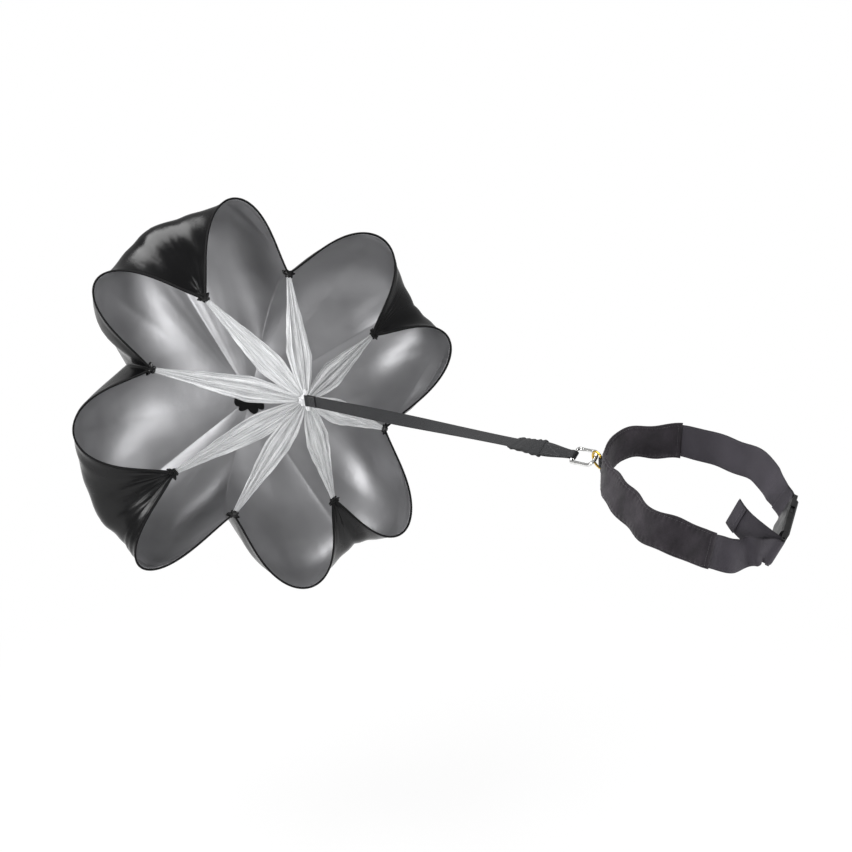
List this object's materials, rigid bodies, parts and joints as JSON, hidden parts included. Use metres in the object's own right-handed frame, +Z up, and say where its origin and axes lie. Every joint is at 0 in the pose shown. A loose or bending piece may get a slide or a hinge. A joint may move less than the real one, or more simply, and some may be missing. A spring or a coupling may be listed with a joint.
{
  "type": "speed parachute",
  "caption": "Square coated-cloth drag canopy drawn into lobes, with a net bridle, a webbing tether, a snap hook on a D-ring and a waist belt with a side-release buckle.",
  "frame": {"origin": "middle of the waist opening that the belt goes round, at the belt's middle height", "axes": "+X forwards from the canopy to the belt, +Z up"},
  "size_m": [2.2026, 0.97, 1.0195],
  "materials": {
    "cloth": "coated nylon, satin inside and glossy outside",
    "binding": "matt hem tape",
    "mesh": "white net",
    "strap": "ribbed webbing",
    "belt": "plain webbing",
    "sleeve": "matt woven cover",
    "plastic": "moulded nylon",
    "steel": "bright plated wire",
    "brass": "yellow plated wire"
  },
  "bodies": {
    "belt": {"belt_webbing": "belt", "back_sleeve": "sleeve", "adjuster_webbing": "belt", "tail_hem": "belt", "ring_tab": "strap", "buckle_socket": "plastic"},
    "d_ring": {"d_ring": "brass"},
    "snap_hook": {"hook_body": "steel", "gate_pin": "steel"},
    "gate": {"hook_gate": "steel"},
    "tether": {"strap_hook_loop": "strap", "tether_strap": "strap", "strap_fold": "strap", "strap_head_loop": "strap"},
    "canopy": {"bridle_ring": "mesh", "bridle_knot": "mesh", "apex_patch": "binding", "canopy_gore_1": "cloth", "rim_binding_1": "binding", "gather_tab_1": "binding", "mesh_band_1": "mesh", "canopy_gore_2": "cloth", "rim_binding_2": "binding", "gather_tab_2": "binding", "mesh_band_2": "mesh", "canopy_gore_3": "cloth", "rim_binding_3": "binding", "gather_tab_3": "binding", "mesh_band_3": "mesh", "canopy_gore_4": "cloth", "rim_binding_4": "binding", "gather_tab_4": "binding", "mesh_band_4": "mesh", "canopy_gore_5": "cloth", "rim_binding_5": "binding", "gather_tab_5": "binding", "mesh_band_5": "mesh", "canopy_gore_6": "cloth", "rim_binding_6": "binding", "gather_tab_6": "binding", "mesh_band_6": "mesh", "canopy_gore_7": "cloth", "rim_binding_7": "binding", "gather_tab_7": "binding", "mesh_band_7": "mesh", "canopy_gore_8": "cloth", "rim_binding_8": "binding", "gather_tab_8": "binding", "mesh_band_8": "mesh"},
    "buckle_plug": {"buckle_plug": "plastic"},
    "prong_up": {"prong_upper": "plastic"},
    "prong_down": {"prong_lower": "plastic"}
  },
  "joints": [
    {"name": "ring_yaw", "type": "hinge", "parent": "belt", "child": "d_ring", "pos_m": [-0.14154, -0.06815, 0.0027], "axis": [0.1305, -0.1629, 0.978], "range_deg": [-30, 50]},
    {"name": "hook_on_ring", "type": "hinge", "parent": "d_ring", "child": "snap_hook", "pos_m": [-0.14937, -0.06832, 0.00372], "axis": [0, -0.9864, -0.1643], "range_deg": [-35, 35]},
    {"name": "gate_open", "type": "hinge", "parent": "snap_hook", "child": "gate", "pos_m": [-0.19789, -0.05948, -0.00153], "axis": [0.202, 0.7071, -0.6776], "range_deg": [0, 20], "stiffness_Nm_per_rad": 0.02, "springref_deg": -14.32},
    {"name": "strap_turn", "type": "hinge", "parent": "snap_hook", "child": "tether", "pos_m": [-0.21204, -0.06832, -0.01497], "axis": [-0.202, 0.7071, 0.6776], "range_deg": [-30, 30]},
    {"name": "canopy_sway", "type": "hinge", "parent": "tether", "child": "canopy", "pos_m": [-1.23553, -0.06832, -0.32008], "axis": [-0.2857, 0, 0.9583], "range_deg": [-25, 25]},
    {"name": "buckle_release", "type": "slide", "parent": "belt", "child": "buckle_plug", "axis": [0.631, -0.752, -0.1908], "range_m": [0, 0.03], "deforming": ["adjuster_webbing", "prong_upper", "prong_lower"]},
    {"name": "prong_squeeze", "type": "hinge", "parent": "buckle_plug", "child": "prong_up", "pos_m": [0.15153, 0.04218, 0.00399], "axis": [-0.6756, -0.6535, 0.3413], "range_deg": [0, 11], "stiffness_Nm_per_rad": 0.03},
    {"name": "prong_follow", "type": "hinge", "parent": "buckle_plug", "child": "prong_down", "pos_m": [0.13979, 0.03952, -0.02436], "axis": [0.6756, 0.6535, -0.3413], "range_deg": [0, 11], "stiffness_Nm_per_rad": 0.03}
  ],
  "couplings": [
    {"joint": "prong_follow", "follows": "prong_squeeze", "ratio": 1}
  ]
}
